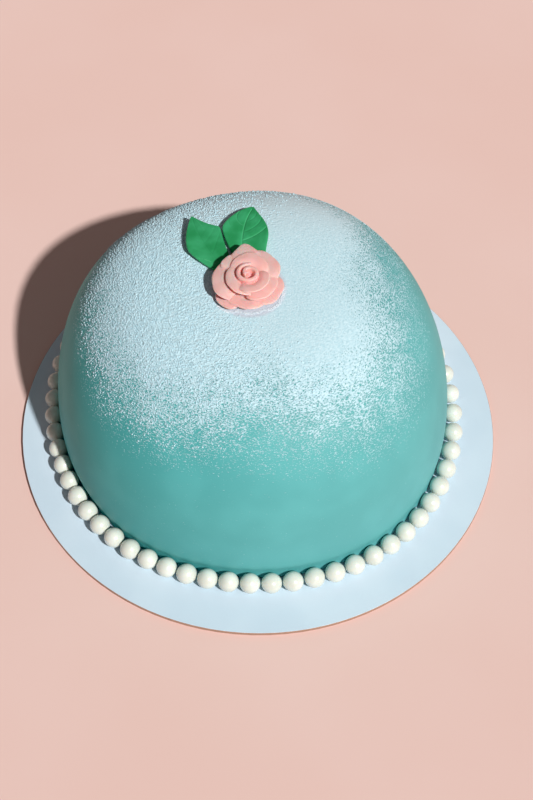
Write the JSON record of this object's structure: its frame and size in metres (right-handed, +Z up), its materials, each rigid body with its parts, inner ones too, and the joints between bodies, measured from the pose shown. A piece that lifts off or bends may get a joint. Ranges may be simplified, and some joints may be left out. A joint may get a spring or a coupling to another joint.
{
  "type": "princess cake",
  "caption": "Domed marzipan-covered layer cake with a row of round sugar pearls at its foot, a marzipan rose and leaves on top, on a round cake board.",
  "frame": {"origin": "centre of the cake board's underside", "axes": "+Z up; +Y towards the back of the cake, where the leaves point; +X to the right of the viewer who faces the rose"},
  "size_m": [0.254, 0.254, 0.1195],
  "materials": {
    "board_card": "white coated card, satin, with a bare brown edge",
    "marzipan": "turquoise rolled marzipan, finely wrinkled, satin, dusted on top with pale sugar",
    "sugar_pearl": "ivory pearl sheen with a soft highlight",
    "rose_marzipan": "smooth soft pink marzipan, slightly translucent",
    "leaf_marzipan": "smooth leaf green marzipan, satin, with pressed veins"
  },
  "bodies": {
    "root": {"board": "board_card", "cake": "marzipan", "rose": "rose_marzipan", "leaf_left": "leaf_marzipan", "leaf_right": "leaf_marzipan", "pearl_01": "sugar_pearl", "pearl_02": "sugar_pearl", "pearl_03": "sugar_pearl", "pearl_04": "sugar_pearl", "pearl_05": "sugar_pearl", "pearl_06": "sugar_pearl", "pearl_07": "sugar_pearl", "pearl_08": "sugar_pearl", "pearl_09": "sugar_pearl", "pearl_10": "sugar_pearl", "pearl_11": "sugar_pearl", "pearl_12": "sugar_pearl", "pearl_13": "sugar_pearl", "pearl_14": "sugar_pearl", "pearl_15": "sugar_pearl", "pearl_16": "sugar_pearl", "pearl_17": "sugar_pearl", "pearl_18": "sugar_pearl", "pearl_19": "sugar_pearl", "pearl_20": "sugar_pearl", "pearl_21": "sugar_pearl", "pearl_22": "sugar_pearl", "pearl_23": "sugar_pearl", "pearl_24": "sugar_pearl", "pearl_25": "sugar_pearl", "pearl_26": "sugar_pearl", "pearl_27": "sugar_pearl", "pearl_28": "sugar_pearl", "pearl_29": "sugar_pearl", "pearl_30": "sugar_pearl", "pearl_31": "sugar_pearl", "pearl_32": "sugar_pearl", "pearl_33": "sugar_pearl", "pearl_34": "sugar_pearl", "pearl_35": "sugar_pearl", "pearl_36": "sugar_pearl", "pearl_37": "sugar_pearl", "pearl_38": "sugar_pearl", "pearl_39": "sugar_pearl", "pearl_40": "sugar_pearl", "pearl_41": "sugar_pearl", "pearl_42": "sugar_pearl", "pearl_43": "sugar_pearl", "pearl_44": "sugar_pearl", "pearl_45": "sugar_pearl", "pearl_46": "sugar_pearl", "pearl_47": "sugar_pearl", "pearl_48": "sugar_pearl", "pearl_49": "sugar_pearl", "pearl_50": "sugar_pearl", "pearl_51": "sugar_pearl", "pearl_52": "sugar_pearl", "pearl_53": "sugar_pearl", "pearl_54": "sugar_pearl", "pearl_55": "sugar_pearl"}
  },
  "joints": []
}
